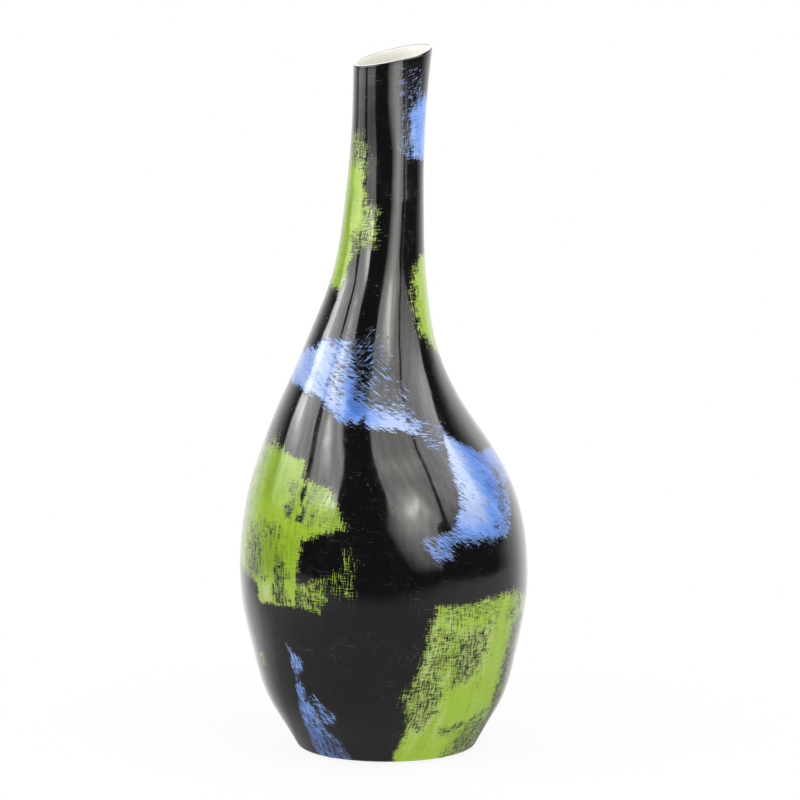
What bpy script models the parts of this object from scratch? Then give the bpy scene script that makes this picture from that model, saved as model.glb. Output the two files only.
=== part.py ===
"""Bottle vase: a round belly, a leaning neck and a mouth cut on a slant.

Thin-walled coiled-wood lacquerware, built up on the bench from the bottom. A floor disc rests on the
ledge inside the bowl's foot, the shoulder laps over the bowl's spigot, the neck laps over the
shoulder's spigot, and four felt pads are glued under the foot.

Metres, +Z up. The origin is on the floor, under the middle of the belly. +X is the side that the mouth
rises to, and -Y is the front.
"""

from math import cos, hypot, pi, radians, sin, sqrt, tan

import bmesh
import bpy
import numpy as np

# Clearance between pieces that are glued to each other or rest on each other
GLUE_GAP = 0.0003

# Heights above the floor
BELLY_HEIGHT = 0.110
LEAN_HEIGHT = 0.222
WAIST_HEIGHT = 0.372
MOUTH_HEIGHT = 0.414
BELLY_JOINT_HEIGHT = 0.113
NECK_JOINT_HEIGHT = 0.262

# Radii of the outside
FOOT_RADIUS = 0.0524
BELLY_RADIUS = 0.0854
WAIST_RADIUS = 0.0219
MOUTH_RADIUS = 0.0230

# How far the middle of the round section stands from the origin, along X. At the belly it is 0.
FOOT_SHIFT = 0.0016
LEAN_SHIFT = -0.0081
MOUTH_SHIFT = 0.0056

# Walls, and the laps that join the shells
BODY_WALL = 0.0032
MOUTH_WALL = 0.0022
LAP_LENGTH = 0.008
RIM_ROUNDING = 0.0008
LAP_ROUNDING = 0.0003

# The slanted mouth: how much it rises for each metre towards +X and towards the back
MOUTH_RISE = 0.209
MOUTH_BACK_RISE = 0.083
MOUTH_COLLAR = 0.014

# The foot, the floor disc on its ledge and the pads under it
FOOT_ROUNDING = 0.003
LEDGE_RADIUS = 0.036
LEDGE_THICKNESS = 0.0035
DISC_THICKNESS = 0.004
PAD_THICKNESS = 0.001
PAD_RADIUS = 0.005
PAD_COUNT = 4
PAD_TURN = radians(45)

# Outline of the outside, as (share of the height, share of the radius) between two named places
FOOT_TO_BELLY_SHARES = (
    (0.00, 0.00),
    (0.115, 0.222),
    (0.275, 0.532),
    (0.50, 0.762),
    (0.76, 0.945),
    (1.00, 1.00),
)
BELLY_TO_WAIST_SHARES = (
    (0.095, 0.968),
    (0.19, 0.874),
    (0.28, 0.710),
    (0.375, 0.503),
    (0.465, 0.330),
    (0.56, 0.199),
    (0.665, 0.093),
    (0.81, 0.028),
    (1.00, 0.000),
)
# Middle line of the vessel, as (share of the height, share of the sideways shift)
BELLY_TO_LEAN_SHARES = ((0.45, 0.21), (0.68, 0.57), (0.86, 0.92), (1.00, 1.00))
LEAN_TO_MOUTH_SHARES = ((0.125, 0.95), (0.25, 0.734), (0.385, 0.536), (0.59, 0.356), (1.00, 0.00))

# Fineness of the meshes
SEGMENTS = 48
PAD_SEGMENTS = 24
ROUNDING_STEPS = 3
WALL_STEP = 0.010
LAP_STEPS = 2

FOOT_HEIGHT = PAD_THICKNESS + GLUE_GAP
LEDGE_TOP = FOOT_HEIGHT + LEDGE_THICKNESS
DISC_BOTTOM = LEDGE_TOP + GLUE_GAP
DISC_TOP = DISC_BOTTOM + DISC_THICKNESS


class Curve:
    """A smooth curve through the given values at the given places: a natural cubic spline."""

    def __init__(self, places, values):
        self.places = np.array(places)
        self.values = np.array(values)
        steps = np.diff(self.places)
        slopes = np.diff(self.values) / steps
        count = len(places)
        system = np.eye(count)
        bends = np.zeros(count)
        for i in range(1, count - 1):
            system[i, i - 1 : i + 2] = steps[i - 1], 2 * (steps[i - 1] + steps[i]), steps[i]
            bends[i] = 6 * (slopes[i] - slopes[i - 1])
        self.bends = np.linalg.solve(system, bends)

    def _span(self, place):
        i = int(np.clip(np.searchsorted(self.places, place) - 1, 0, len(self.places) - 2))
        step = self.places[i + 1] - self.places[i]
        return i, step, (self.places[i + 1] - place) / step, (place - self.places[i]) / step

    def at(self, place):
        i, step, a, b = self._span(place)
        bent = (a**3 - a) * self.bends[i] + (b**3 - b) * self.bends[i + 1]
        return a * self.values[i] + b * self.values[i + 1] + bent * step**2 / 6

    def slope(self, place):
        i, step, a, b = self._span(place)
        bent = (3 * b**2 - 1) * self.bends[i + 1] - (3 * a**2 - 1) * self.bends[i]
        return (self.values[i + 1] - self.values[i]) / step + bent * step / 6


def between(low, high, share):
    return low + share * (high - low)


def outside_curve():
    """Radius of the outside at each height, from the foot to the mouth."""
    lower = [
        (between(FOOT_HEIGHT, BELLY_HEIGHT, up), between(FOOT_RADIUS, BELLY_RADIUS, out))
        for up, out in FOOT_TO_BELLY_SHARES
    ]
    upper = [
        (between(BELLY_HEIGHT, WAIST_HEIGHT, up), between(WAIST_RADIUS, BELLY_RADIUS, out))
        for up, out in BELLY_TO_WAIST_SHARES
    ]
    return Curve(*zip(*lower, *upper, (MOUTH_HEIGHT, MOUTH_RADIUS)))


def middle_curve():
    """Sideways place of the round section's middle at each height."""
    lower = [
        (between(BELLY_HEIGHT, LEAN_HEIGHT, up), between(0, LEAN_SHIFT, over))
        for up, over in BELLY_TO_LEAN_SHARES
    ]
    upper = [
        (between(LEAN_HEIGHT, MOUTH_HEIGHT, up), between(MOUTH_SHIFT, LEAN_SHIFT, over))
        for up, over in LEAN_TO_MOUTH_SHARES
    ]
    return Curve(*zip((FOOT_HEIGHT, FOOT_SHIFT), (BELLY_HEIGHT, 0), *lower, *upper))


OUTSIDE = outside_curve()
MIDDLE = middle_curve()


def wall_at(height):
    """Thickness of the wall, square to it: the body's up to the neck joint, then thinning to the mouth."""
    up = (height - NECK_JOINT_HEIGHT) / (MOUTH_HEIGHT - NECK_JOINT_HEIGHT)
    return between(BODY_WALL, MOUTH_WALL, min(max(up, 0), 1))


def skin_radius(height, depth):
    """Radius at this height of the surface that lies this deep under the outside."""
    return OUTSIDE.at(height) - depth * sqrt(1 + OUTSIDE.slope(height) ** 2)


def inside_radius(height):
    return skin_radius(height, wall_at(height))


def lap_radius(height, offset):
    """Radius of the lap's mating cone, half way through the wall, moved out by the offset."""
    return skin_radius(height, wall_at(height) / 2) + offset


def wall_heights(low, high):
    """Evenly spaced heights from low to high, about a wall step apart."""
    return np.linspace(low, high, max(2, round((high - low) / WALL_STEP) + 1))


def rounded(before, corner, after, radius):
    """Points of the arc of this radius that rounds the corner between its two neighbours."""
    (x0, y0), (x1, y1), (x2, y2) = before, corner, after
    back, ahead = hypot(x0 - x1, y0 - y1), hypot(x2 - x1, y2 - y1)
    in_x, in_y = (x0 - x1) / back, (y0 - y1) / back
    out_x, out_y = (x2 - x1) / ahead, (y2 - y1) / ahead
    half = np.arccos(np.clip(in_x * out_x + in_y * out_y, -1, 1)) / 2
    reach = min(radius / tan(half), min(back, ahead) / 2)
    depth = reach / cos(half)
    fitted = reach * tan(half)
    norm = hypot(in_x + out_x, in_y + out_y)
    mid_x, mid_y = x1 + depth * (in_x + out_x) / norm, y1 + depth * (in_y + out_y) / norm
    first = np.arctan2(y1 + reach * in_y - mid_y, x1 + reach * in_x - mid_x)
    last = np.arctan2(y1 + reach * out_y - mid_y, x1 + reach * out_x - mid_x)
    turn = (last - first + pi) % (2 * pi) - pi
    steps = [first + turn * k / ROUNDING_STEPS for k in range(ROUNDING_STEPS + 1)]
    return [(mid_x + fitted * cos(a), mid_y + fitted * sin(a)) for a in steps]


def softened(outline, radii):
    """The closed outline with an arc at each corner that radii gives a rounding, by its index."""
    points = []
    for i, corner in enumerate(outline):
        if i in radii:
            after = outline[(i + 1) % len(outline)]
            points += rounded(outline[i - 1], corner, after, radii[i])
        else:
            points.append(corner)
    return points


def tilt_at(height):
    """0 up to the neck joint, easing to 1 in the collar, where the rings lie parallel to the mouth."""
    collar = MOUTH_HEIGHT - MOUTH_COLLAR
    up = min(max((height - NECK_JOINT_HEIGHT) / (collar - NECK_JOINT_HEIGHT), 0), 1)
    return up * up * (3 - 2 * up)


def placed(radius, height, angle):
    """The point of the vessel at this radius and angle, with the lean and the mouth's slant in it."""
    x, y = radius * cos(angle), radius * sin(angle)
    rise = MOUTH_RISE * x + MOUTH_BACK_RISE * y
    return MIDDLE.at(height) + x, y, height + tilt_at(height) * rise


def material(name, color, roughness, coat=0.0):
    made = bpy.data.materials.new(name)
    made.use_nodes = True
    shader = made.node_tree.nodes["Principled BSDF"]
    shader.inputs["Base Color"].default_value = (*color, 1)
    shader.inputs["Roughness"].default_value = roughness
    shader.inputs["Metallic"].default_value = 0.0
    shader.inputs["Coat Weight"].default_value = coat
    return made


def turned(name, outline, materials, inside):
    """A closed body turned from a closed outline of (radius, height). inside is the range of outline
    edges that take the second material."""
    shape = bmesh.new()
    angles = [2 * pi * k / SEGMENTS for k in range(SEGMENTS)]
    rings = [[shape.verts.new(placed(r, z, a)) for a in angles] for r, z in outline]
    for i, ring in enumerate(rings):
        above = rings[(i + 1) % len(rings)]
        for k in range(SEGMENTS):
            after = (k + 1) % SEGMENTS
            face = shape.faces.new((ring[k], ring[after], above[after], above[k]))
            face.material_index = int(i in inside)
    finished(name, shape, materials)


def finished(name, shape, materials):
    bmesh.ops.recalc_face_normals(shape, faces=shape.faces)
    mesh = bpy.data.meshes.new(name)
    shape.to_mesh(mesh)
    shape.free()
    for each in materials:
        mesh.materials.append(each)
    mesh.shade_smooth()
    mesh.set_sharp_from_angle(angle=radians(40))
    made = bpy.data.objects.new(name, mesh)
    bpy.context.scene.collection.objects.link(made)
    return made


def spigot_top(joint):
    """Outline of a shell's upper end: its outside stops at the joint and its inner half goes on up."""
    top = joint + LAP_LENGTH
    cone = [
        (lap_radius(height, -GLUE_GAP / 2), height)
        for height in np.linspace(joint, top, LAP_STEPS + 1)
    ]
    return [(OUTSIDE.at(joint), joint), *cone, (inside_radius(top), top)]


def skirt_bottom(joint):
    """Outline of a shell's lower end, read downwards: its outer half comes down over the spigot."""
    low, high = joint + GLUE_GAP, joint + LAP_LENGTH + GLUE_GAP
    cone = [
        (lap_radius(height, GLUE_GAP / 2), height)
        for height in np.linspace(high, low, LAP_STEPS + 1)
    ]
    return [(inside_radius(high), high), *cone, (OUTSIDE.at(low), low)]


def lap_corners(first):
    """Roundings of a lap's outer edge and of the end of its mating cone, where its outline starts at
    this index."""
    return {first: LAP_ROUNDING, first + LAP_STEPS + 1: LAP_ROUNDING}


def lower_bowl(materials):
    """The bowl up to the belly joint, with the ledge inside its foot."""
    foot = [(LEDGE_RADIUS, FOOT_HEIGHT), (FOOT_RADIUS, FOOT_HEIGHT)]
    wall = [(OUTSIDE.at(z), z) for z in wall_heights(FOOT_HEIGHT, BELLY_JOINT_HEIGHT)[1:-1]]
    end = spigot_top(BELLY_JOINT_HEIGHT)
    top = BELLY_JOINT_HEIGHT + LAP_LENGTH
    lining = [(inside_radius(z), z) for z in wall_heights(LEDGE_TOP, top)[-2::-1]]
    outline = [*foot, *wall, *end, *lining, (LEDGE_RADIUS, LEDGE_TOP)]
    radii = {1: FOOT_ROUNDING, **lap_corners(len(foot) + len(wall))}
    points = softened(outline, radii)
    inner = range(len(points) - len(lining) - 2, len(points) - 1)
    turned("lower_bowl", points, materials, inner)


def shoulder_shell(materials):
    """The shoulder, from the belly joint up to the neck joint."""
    low = BELLY_JOINT_HEIGHT + LAP_LENGTH + GLUE_GAP
    top = NECK_JOINT_HEIGHT + LAP_LENGTH
    start = skirt_bottom(BELLY_JOINT_HEIGHT)
    heights = wall_heights(BELLY_JOINT_HEIGHT + GLUE_GAP, NECK_JOINT_HEIGHT)
    wall = [(OUTSIDE.at(z), z) for z in heights[1:-1]]
    end = spigot_top(NECK_JOINT_HEIGHT)
    lining = [(inside_radius(z), z) for z in wall_heights(low, top)[-2:0:-1]]
    outline = [*start, *wall, *end, *lining]
    radii = {**lap_corners(1), **lap_corners(len(start) + len(wall))}
    points = softened(outline, radii)
    inner = range(len(points) - len(lining) - 1, len(points))
    turned("shoulder_shell", points, materials, inner)


def neck_tube(materials):
    """The neck, from its joint with the shoulder up to the slanted mouth."""
    low = NECK_JOINT_HEIGHT + LAP_LENGTH + GLUE_GAP
    start = skirt_bottom(NECK_JOINT_HEIGHT)
    heights = wall_heights(NECK_JOINT_HEIGHT + GLUE_GAP, MOUTH_HEIGHT)
    wall = [(OUTSIDE.at(z), z) for z in heights[1:]]
    lining = [(inside_radius(z), z) for z in wall_heights(low, MOUTH_HEIGHT)[:0:-1]]
    outline = [*start, *wall, *lining]
    rim = len(start) + len(wall) - 1
    radii = {**lap_corners(1), rim: RIM_ROUNDING, rim + 1: RIM_ROUNDING}
    points = softened(outline, radii)
    inner = range(len(points) - len(lining) - 2 * ROUNDING_STEPS - 1, len(points))
    turned("neck_tube", points, materials, inner)


def floor_disc(materials):
    """The round floor, whose coned edge beds against the bowl's wall just above the ledge."""
    shape = bmesh.new()
    angles = [2 * pi * k / SEGMENTS for k in range(SEGMENTS)]
    rings = []
    for height in (DISC_BOTTOM, DISC_TOP):
        radius = skin_radius(height, BODY_WALL + GLUE_GAP)
        rings.append([shape.verts.new(placed(radius, height, a)) for a in angles])
    shape.faces.new(rings[0])
    shape.faces.new(rings[1])
    for k in range(SEGMENTS):
        after = (k + 1) % SEGMENTS
        shape.faces.new((rings[0][k], rings[0][after], rings[1][after], rings[1][k]))
    finished("floor_disc", shape, materials)


def foot_pads(materials):
    """Round felt pads, glued in a ring under the flat of the foot."""
    ring_radius = (LEDGE_RADIUS + FOOT_RADIUS - FOOT_ROUNDING) / 2
    for k in range(PAD_COUNT):
        angle = PAD_TURN + 2 * pi * k / PAD_COUNT
        shape = bmesh.new()
        bmesh.ops.create_cone(
            shape,
            cap_ends=True,
            segments=PAD_SEGMENTS,
            radius1=PAD_RADIUS,
            radius2=PAD_RADIUS,
            depth=PAD_THICKNESS,
        )
        pad = finished(f"foot_pad_{k + 1}", shape, materials)
        pad.location = placed(ring_radius, PAD_THICKNESS / 2, angle)


def main():
    for old in list(bpy.data.objects):
        bpy.data.objects.remove(old, do_unlink=True)
    lacquer = material("black_lacquer", (0.012, 0.012, 0.012), 0.18, coat=0.6)
    lining = material("pale_lining", (0.80, 0.76, 0.66), 0.55)
    board = material("floor_board", (0.62, 0.54, 0.40), 0.65)
    felt = material("felt", (0.045, 0.045, 0.045), 0.95)
    lower_bowl([lacquer, lining])
    shoulder_shell([lacquer, lining])
    neck_tube([lacquer, lining])
    floor_disc([board])
    foot_pads([felt])


main()
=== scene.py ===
"""Looks of the bottle vase: black gloss lacquer with dry-brushed green and blue patches, a pale coat
inside and felt pads under the foot, between tall softboxes.

Metres, +Z up, in the part's frame. An azimuth is an angle round the vase in degrees, 0 at the front
(-Y) and positive towards +X. A ring height is the height of a ring of the vase's surface where it
crosses the middle line, before the slant of the mouth tilts it.
"""

from collections.abc import Sequence
from dataclasses import dataclass
from math import cos, pi, radians, sin

import bpy
import numpy as np
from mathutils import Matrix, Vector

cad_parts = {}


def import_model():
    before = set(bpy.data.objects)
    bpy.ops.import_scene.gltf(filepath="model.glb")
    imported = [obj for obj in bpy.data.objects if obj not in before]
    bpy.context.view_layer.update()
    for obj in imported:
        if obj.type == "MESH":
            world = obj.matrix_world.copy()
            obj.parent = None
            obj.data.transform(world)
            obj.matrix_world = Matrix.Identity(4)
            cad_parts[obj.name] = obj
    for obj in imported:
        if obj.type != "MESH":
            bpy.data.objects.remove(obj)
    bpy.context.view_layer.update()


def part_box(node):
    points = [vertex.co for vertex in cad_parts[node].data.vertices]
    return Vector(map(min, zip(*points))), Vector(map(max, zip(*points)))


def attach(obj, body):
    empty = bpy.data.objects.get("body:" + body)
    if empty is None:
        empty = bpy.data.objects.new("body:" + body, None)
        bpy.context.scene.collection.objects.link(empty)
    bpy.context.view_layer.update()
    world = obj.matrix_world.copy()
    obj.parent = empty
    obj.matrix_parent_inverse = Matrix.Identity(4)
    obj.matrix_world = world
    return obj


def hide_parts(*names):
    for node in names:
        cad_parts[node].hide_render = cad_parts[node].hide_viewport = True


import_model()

MM = 0.001
MICRON = 1e-6

# Outline of the vessel, the same values as in the part
BELLY_HEIGHT = 0.110
LEAN_HEIGHT = 0.222
WAIST_HEIGHT = 0.372
MOUTH_HEIGHT = 0.414
NECK_JOINT_HEIGHT = 0.262
FOOT_RADIUS = 0.0524
BELLY_RADIUS = 0.0854
WAIST_RADIUS = 0.0219
MOUTH_RADIUS = 0.0230
FOOT_SHIFT = 0.0016
LEAN_SHIFT = -0.0081
MOUTH_SHIFT = 0.0056
BODY_WALL = 0.0032
MOUTH_WALL = 0.0022
RIM_ROUNDING = 0.0013
MOUTH_RISE = 0.209
MOUTH_BACK_RISE = 0.083
MOUTH_COLLAR = 0.014
FOOT_ROUNDING = 0.003
LEDGE_RADIUS = 0.036
LEDGE_THICKNESS = 0.0035
FOOT_TO_BELLY_SHARES = (
    (0.00, 0.00), (0.115, 0.222), (0.275, 0.532), (0.50, 0.762), (0.76, 0.945), (1.00, 1.00),
)
BELLY_TO_WAIST_SHARES = (
    (0.095, 0.968), (0.19, 0.874), (0.28, 0.710), (0.375, 0.503), (0.465, 0.330), (0.56, 0.199),
    (0.665, 0.093), (0.81, 0.028), (1.00, 0.000),
)
BELLY_TO_LEAN_SHARES = ((0.45, 0.21), (0.68, 0.57), (0.86, 0.92), (1.00, 1.00))
LEAN_TO_MOUTH_SHARES = ((0.125, 0.95), (0.25, 0.734), (0.385, 0.536), (0.59, 0.356), (1.00, 0.00))

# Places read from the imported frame
FOOT_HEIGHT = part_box("lower_bowl")[0][2]
LEDGE_TOP = FOOT_HEIGHT + LEDGE_THICKNESS
DISC_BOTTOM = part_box("floor_disc")[0][2]
DISC_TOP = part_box("floor_disc")[1][2]

# How far the hand-formed vessel strays from round: the neck's oval by height, the rim's lift in
# millimetres by azimuth, a faint ridge up the neck, a shallow dent at the neck's root by height in
# millimetres, and shallow waves
NECK_OVAL = (
    (0.27, 0.0), (0.30, 0.03), (0.33, 0.06), (0.36, 0.03), (0.375, -0.01), (0.39, -0.045),
    (0.402, -0.065), (0.414, -0.075),
)
RIM_LIFT = (
    (-180, -0.3), (-90, 0.2), (-54, 0.8), (-33, 1.2), (-5, 1.2), (19, 0.8), (42, 0.0), (180, -0.3),
)
RIDGE_HEIGHT = 0.00025
RIDGE_AZIMUTH = radians(19)
RIDGE_WIDTH = radians(15)
DENT = ((0.225, 0.0), (0.24, 0.7), (0.25, 1.1), (0.262, 1.2), (0.285, 1.2), (0.30, 0.7), (0.315, 0.0))
DENT_AZIMUTH = radians(-55)
DENT_WIDTH = radians(30)
WAVE_HEIGHT = 0.00011
WAVE_LENGTHS = (0.032, 0.048, 0.075)
WAVES_EACH = 3
WAVE_TURNS = (2, 9)
WAVE_SEED = 11

# Layers: the lacquered wood takes this share of the wall, and the pale coat the rest
SKIN_SHARE = 0.45
COAT_GAP = 0.00005
LIP_ANGLE = radians(50)
UNDER_RIM = MOUTH_HEIGHT - 3 * RIM_ROUNDING / 2

# Fineness of the meshes
SEGMENTS = 256
OUTSIDE_RINGS = 300
INNER_RINGS = 56
COAT_SEGMENTS = 160
COAT_RINGS = 90
HIDDEN_RINGS = 30
SEAT_RINGS = 4
FOOT_RINGS = 4
ARC_STEPS = 6
SHARP_ANGLE = radians(40)


class Curve:
    """A smooth curve through points of (place, value): a natural cubic spline."""

    def __init__(self, points):
        self.places, self.values = np.array(points).T
        steps = np.diff(self.places)
        slopes = np.diff(self.values) / steps
        count = len(self.places)
        system = np.eye(count)
        bends = np.zeros(count)
        for i in range(1, count - 1):
            system[i, i - 1 : i + 2] = steps[i - 1], 2 * (steps[i - 1] + steps[i]), steps[i]
            bends[i] = 6 * (slopes[i] - slopes[i - 1])
        self.bends = np.linalg.solve(system, bends)

    def _span(self, place):
        i = np.clip(np.searchsorted(self.places, place) - 1, 0, len(self.places) - 2)
        step = self.places[i + 1] - self.places[i]
        return i, step, (self.places[i + 1] - place) / step, (place - self.places[i]) / step

    def at(self, place):
        i, step, a, b = self._span(place)
        bent = (a**3 - a) * self.bends[i] + (b**3 - b) * self.bends[i + 1]
        return a * self.values[i] + b * self.values[i + 1] + bent * step**2 / 6

    def slope(self, place):
        i, step, a, b = self._span(place)
        bent = (3 * b**2 - 1) * self.bends[i + 1] - (3 * a**2 - 1) * self.bends[i]
        return (self.values[i + 1] - self.values[i]) / step + bent * step / 6


def between(low, high, share):
    return low + share * (high - low)


def profile(pairs, place):
    """Value at this place on straight lines through pairs of (place, value)."""
    return np.interp(place, *zip(*pairs))


def stretch(shares, places, values):
    """Points of (place, value) at these shares of the way between two places and two values."""
    return [(between(*places, up), between(*values, over)) for up, over in shares]


# Radius of the outside, and sideways place of the section's middle, at each ring height
OUTSIDE = Curve([
    *stretch(FOOT_TO_BELLY_SHARES, (FOOT_HEIGHT, BELLY_HEIGHT), (FOOT_RADIUS, BELLY_RADIUS)),
    *stretch(BELLY_TO_WAIST_SHARES, (BELLY_HEIGHT, WAIST_HEIGHT), (WAIST_RADIUS, BELLY_RADIUS)),
    (MOUTH_HEIGHT, MOUTH_RADIUS),
])
MIDDLE = Curve([
    (FOOT_HEIGHT, FOOT_SHIFT),
    (BELLY_HEIGHT, 0),
    *stretch(BELLY_TO_LEAN_SHARES, (BELLY_HEIGHT, LEAN_HEIGHT), (0, LEAN_SHIFT)),
    *stretch(LEAN_TO_MOUTH_SHARES, (LEAN_HEIGHT, MOUTH_HEIGHT), (MOUTH_SHIFT, LEAN_SHIFT)),
])


def wall_at(height):
    up = (height - NECK_JOINT_HEIGHT) / (MOUTH_HEIGHT - NECK_JOINT_HEIGHT)
    return between(BODY_WALL, MOUTH_WALL, np.clip(up, 0, 1))


def skin_radius(height, depth):
    """Radius at this ring height of the surface that lies this deep under the outside."""
    return OUTSIDE.at(height) - depth * np.sqrt(1 + OUTSIDE.slope(height) ** 2)


def tilt_at(height):
    """How much of the mouth's slant a ring has, from 0 at the neck's joint to 1 below the mouth."""
    collar = MOUTH_HEIGHT - MOUTH_COLLAR
    up = np.clip((height - NECK_JOINT_HEIGHT) / (collar - NECK_JOINT_HEIGHT), 0, 1)
    return up * up * (3 - 2 * up)


def waves(azimuth, height):
    """Shallow hand-made waves of the surface, in metres: crossed sines of unlike lengths."""
    draw = np.random.default_rng(WAVE_SEED)
    total = 0
    for length in WAVE_LENGTHS:
        for turns in draw.integers(*WAVE_TURNS, WAVES_EACH):
            rise = draw.uniform(-1, 1) * 2 * pi / length
            phase = draw.uniform(0, 2 * pi)
            total = total + np.sin(turns * azimuth + rise * height + phase)
    return WAVE_HEIGHT * total / len(WAVE_LENGTHS)


def hump(azimuth, middle, width):
    """1 at the middle azimuth, falling to nothing within about two widths of it."""
    return np.exp(-(((azimuth - middle) / width) ** 2))


def surface_points(radius, height, azimuth):
    """Points of the vessel at these radii, ring heights and azimuths (radians), with the lean, the
    mouth's slant and all that strays from round."""
    swell = np.clip((height - DISC_TOP) / (BELLY_HEIGHT / 2), 0, 1) * radius / BELLY_RADIUS
    on_neck = np.clip((height - LEAN_HEIGHT) / (NECK_JOINT_HEIGHT - LEAN_HEIGHT) - 1, 0, 1)
    own = radius * (1 + profile(NECK_OVAL, height) * np.sin(2 * azimuth))
    own = own + swell * waves(azimuth, height)
    own = own + on_neck * RIDGE_HEIGHT * hump(azimuth, RIDGE_AZIMUTH, RIDGE_WIDTH)
    own = own - profile(DENT, height) * MM * hump(azimuth, DENT_AZIMUTH, DENT_WIDTH)
    x = own * np.sin(azimuth)
    y = -own * np.cos(azimuth)
    rise = tilt_at(height) * (MOUTH_RISE * x + MOUTH_BACK_RISE * y)
    near_rim = np.clip((height - MOUTH_HEIGHT) / (2 * MOUTH_COLLAR) + 1, 0, 1)
    rise = rise + near_rim**2 * profile(RIM_LIFT, np.degrees(azimuth)) * MM
    return np.stack([MIDDLE.at(height) + x, y, height + rise], -1)


def arc(middle_radius, middle_height, radius, start, end):
    """Points (radius, height) of an arc from one angle to the other. Angle 0 points outwards and a
    quarter turn points up."""
    angles = np.linspace(start, end, ARC_STEPS + 1)
    return [(middle_radius + radius * cos(a), middle_height + radius * sin(a)) for a in angles]


def rim_arc(radius, start, end):
    """An arc of the rim's rounding, which meets its other arc at the rim's crest."""
    return arc(skin_radius(MOUTH_HEIGHT, RIM_ROUNDING), MOUTH_HEIGHT - radius, radius, start, end)


def layer(heights, depth_share, gap=0.0):
    """Points of the surface at this share of the wall, moved inwards by the gap."""
    return [(skin_radius(z, wall_at(z) * depth_share + gap), z) for z in heights]


def skin_outline():
    """The lacquered body: the foot, the outside, half of the rim, and back down inside the wall.
    Also the numbers of the points that can carry paint."""
    lean = np.arctan(OUTSIDE.slope(FOOT_HEIGHT + FOOT_ROUNDING / 3))
    start = FOOT_HEIGHT + FOOT_ROUNDING * (1 - sin(lean))
    middle = OUTSIDE.at(start) - FOOT_ROUNDING * cos(lean)
    foot = [(r, FOOT_HEIGHT) for r in np.linspace(LEDGE_RADIUS, middle, FOOT_RINGS + 1)[:-1]]
    corner = arc(middle, FOOT_HEIGHT + FOOT_ROUNDING, FOOT_ROUNDING, -pi / 2, -lean)
    outside = layer(np.linspace(start, MOUTH_HEIGHT - RIM_ROUNDING, OUTSIDE_RINGS)[1:], 0)
    lip = rim_arc(RIM_ROUNDING, 0, LIP_ANGLE)[1:]
    inner = layer(np.linspace(UNDER_RIM, DISC_TOP, INNER_RINGS), SKIN_SHARE)
    seat = layer(np.linspace(DISC_TOP, LEDGE_TOP, SEAT_RINGS), 1)
    ledge = [(LEDGE_RADIUS + MM, LEDGE_TOP), (LEDGE_RADIUS, LEDGE_TOP - MM / 2)]
    painted = range(len(foot) + 1, len(foot) + len(corner) + len(outside) + len(lip))
    return [*foot, *corner, *outside, *lip, *inner, *seat, *ledge], painted


def coat_outline():
    """The pale coat: up inside the wall, over the rim's lip and down the inside."""
    low = DISC_TOP + COAT_GAP
    hidden = layer(np.linspace(low, UNDER_RIM, HIDDEN_RINGS), SKIN_SHARE, COAT_GAP)
    lip = rim_arc(RIM_ROUNDING, LIP_ANGLE + COAT_GAP / RIM_ROUNDING, pi / 2)
    inner_rounding = MOUTH_WALL - RIM_ROUNDING
    inner_lip = rim_arc(inner_rounding, pi / 2, pi)[1:]
    inside = layer(np.linspace(MOUTH_HEIGHT - inner_rounding, low, COAT_RINGS)[1:], 1)
    return [*hidden, *lip, *inner_lip, *inside]


def numbered(points):
    """The number of each point in a grid of points."""
    return np.arange(points[..., 0].size).reshape(points.shape[:-1])


def quads(numbers):
    """Faces between neighbours in a grid of vertex numbers."""
    corners = numbers[:-1, :-1], numbers[:-1, 1:], numbers[1:, 1:], numbers[1:, :-1]
    return np.stack(corners, -1).reshape(-1, 4).tolist()


def mesh_object(name, points, faces, material):
    mesh = bpy.data.meshes.new(name)
    mesh.from_pydata(points.reshape(-1, 3).tolist(), [], faces)
    mesh.materials.append(material)
    mesh.shade_smooth()
    made = bpy.data.objects.new(name, mesh)
    bpy.context.scene.collection.objects.link(made)
    return made


def turned(name, outline, segments, material):
    """A closed body turned from a closed outline of (radius, ring height), and the point, ring
    height and azimuth of each vertex."""
    radius, height = np.array(outline).T[..., None]
    azimuth = np.linspace(-pi, pi, segments, endpoint=False)
    radius, height, azimuth = np.broadcast_arrays(radius, height, azimuth)
    points = surface_points(radius, height, azimuth)
    faces = quads(np.pad(numbered(points), (0, 1), "wrap"))
    made = mesh_object(name, points, faces, material)
    made.data.set_sharp_from_angle(angle=SHARP_ANGLE)
    return made, points, height, azimuth


def round_points(middle_x, middle_y, radius, azimuth, height):
    """Points of level circles, or of arcs of them."""
    x = middle_x + radius * np.sin(azimuth)
    y = middle_y - radius * np.cos(azimuth)
    return np.stack(np.broadcast_arrays(x, y, height), -1)


def capped_body(name, points, material):
    """A closed body through rings of points, with its first and last ring filled."""
    numbers = numbered(points)
    faces = quads(np.pad(numbers, ((0, 0), (0, 1)), "wrap"))
    ends = [numbers[0, ::-1].tolist(), numbers[-1].tolist()]
    return mesh_object(name, points, faces + ends, material)


def add_values(made, **attributes):
    """Attributes that the material reads: a number or a vector for each vertex."""
    for name, values in attributes.items():
        values = np.asarray(values, dtype=np.float32).ravel()
        single = len(values) == len(made.data.vertices)
        kind, key = ("FLOAT", "value") if single else ("FLOAT_VECTOR", "vector")
        made.data.attributes.new(name, kind, "POINT").data.foreach_set(key, values)


# Paint


@dataclass
class Area:
    """An outline of (azimuth, height in mm) with a level and a soft width in mm. It is a thin place
    of a patch, where the paint is held at the level and recovers over the width, or it is a tint."""

    outline: list
    level: float
    soft: float


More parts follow.
